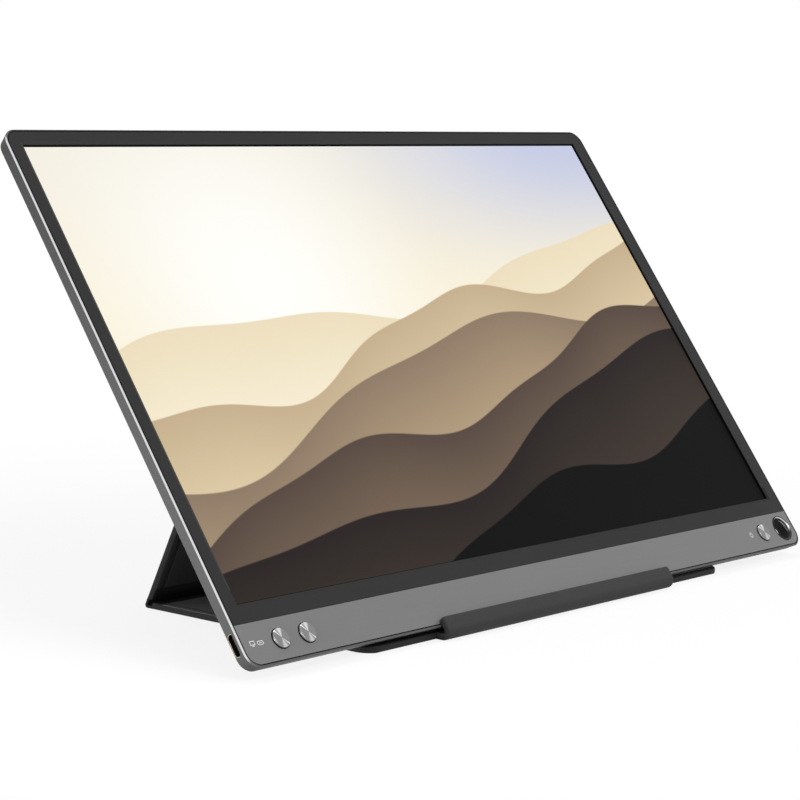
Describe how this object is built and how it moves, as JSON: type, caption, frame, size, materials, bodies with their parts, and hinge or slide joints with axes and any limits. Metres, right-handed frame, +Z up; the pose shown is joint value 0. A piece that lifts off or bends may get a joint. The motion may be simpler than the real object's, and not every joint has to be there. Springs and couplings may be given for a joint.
{
  "type": "portable monitor",
  "caption": "Slim flat portable monitor with round chin buttons and a pen hole, leaning on its folding three-panel case, whose front flap holds the lower edge.",
  "frame": {"origin": "on the table, under the middle of the footprint of the standing monitor and its case", "axes": "+X to the viewer's right along the screen's width, +Y to the back, +Z up"},
  "size_m": [0.3594, 0.1419, 0.1876],
  "materials": {
    "housing_metal": "satin dark grey with a polished bevel",
    "bezel_plastic": "fine matte dark grey",
    "chin_metal": "satin mid grey",
    "screen_glass": "lit screen behind a smooth polariser",
    "foam": "matte foam",
    "sheet_steel": "plain sheet",
    "clear_film": "frosted film",
    "clear_acrylic": "clear",
    "white_film": "white film",
    "circuit_board": "solder-masked board",
    "chip_black": "moulded epoxy",
    "ribbon": "polyimide film",
    "screw_steel": "plated steel",
    "button_metal": "spun rings with a bright edge",
    "switch_plastic": "moulded plastic",
    "ring_metal": "diamond-cut bevel",
    "port_steel": "plated sheet steel",
    "port_plastic": "moulded plastic",
    "case_skin": "fine-grained black synthetic skin",
    "case_lining": "smooth suede-like lining",
    "stiffener": "pressed board",
    "magnet": "nickel-plated magnet",
    "core_plastic": "plain strip"
  },
  "bodies": {
    "display": {"rear_cover": "housing_metal", "front_bezel": "bezel_plastic", "chin_panel": "chin_metal", "bezel_gasket": "foam", "lcd_cell": "screen_glass", "panel_chassis": "sheet_steel", "diffuser_films": "clear_film", "light_guide": "clear_acrylic", "reflector_sheet": "white_film", "led_bar": "circuit_board", "timing_board": "circuit_board", "main_board": "circuit_board", "power_board": "circuit_board", "scaler_chip": "chip_black", "power_coil": "chip_black", "shield_can": "sheet_steel", "power_ribbon": "ribbon", "panel_ribbon": "ribbon", "board_screws": "screw_steel", "left_switches": "switch_plastic", "power_switch": "switch_plastic", "pen_hole_ring": "ring_metal", "usb_shell": "port_steel", "usb_tongue": "port_plastic", "back_panel_cover": "case_skin", "back_panel_board": "stiffener", "back_panel_lining": "case_lining", "case_magnets": "magnet", "keeper_plates": "sheet_steel", "top_fold": "case_skin"},
    "strut": {"strut_cover": "case_skin", "strut_board": "stiffener", "strut_lining": "case_lining", "rear_fold": "case_skin"},
    "base": {"base_cover": "case_skin", "base_board": "stiffener", "base_lining": "case_lining", "front_bend": "case_skin"},
    "lip": {"lip_cover": "case_skin", "lip_core": "core_plastic"},
    "menu_button": {"menu_button": "button_metal"},
    "select_button": {"select_button": "button_metal"},
    "power_button": {"power_button": "button_metal"}
  },
  "joints": [
    {"name": "stand_fold", "type": "hinge", "parent": "display", "child": "strut", "pos_m": [0, 0.00855, 0.09295], "axis": [1, 0, 0], "range_deg": [-60.5, 0], "deforming": ["top_fold"]},
    {"name": "base_fold", "type": "hinge", "parent": "strut", "child": "base", "pos_m": [0, 0.05129, 0.0013], "axis": [1, 0, 0], "range_deg": [0, 115], "deforming": ["rear_fold"]},
    {"name": "lip_fold", "type": "hinge", "parent": "base", "child": "lip", "pos_m": [0, -0.06756, 0.0035], "axis": [1, 0, 0], "range_deg": [0, 125], "deforming": ["front_bend"]},
    {"name": "menu_button_press", "type": "slide", "parent": "display", "child": "menu_button", "axis": [0, 0.809, -0.5878], "range_m": [0, 0.00035], "stiffness_N_per_m": 1500},
    {"name": "select_button_press", "type": "slide", "parent": "display", "child": "select_button", "axis": [0, 0.809, -0.5878], "range_m": [0, 0.00035], "stiffness_N_per_m": 1500},
    {"name": "power_button_press", "type": "slide", "parent": "display", "child": "power_button", "axis": [0, 0.809, -0.5878], "range_m": [0, 0.00035], "stiffness_N_per_m": 1500}
  ],
  "couplings": [
    {"joint": "base_fold", "follows": "stand_fold", "ratio": -1.8852}
  ]
}
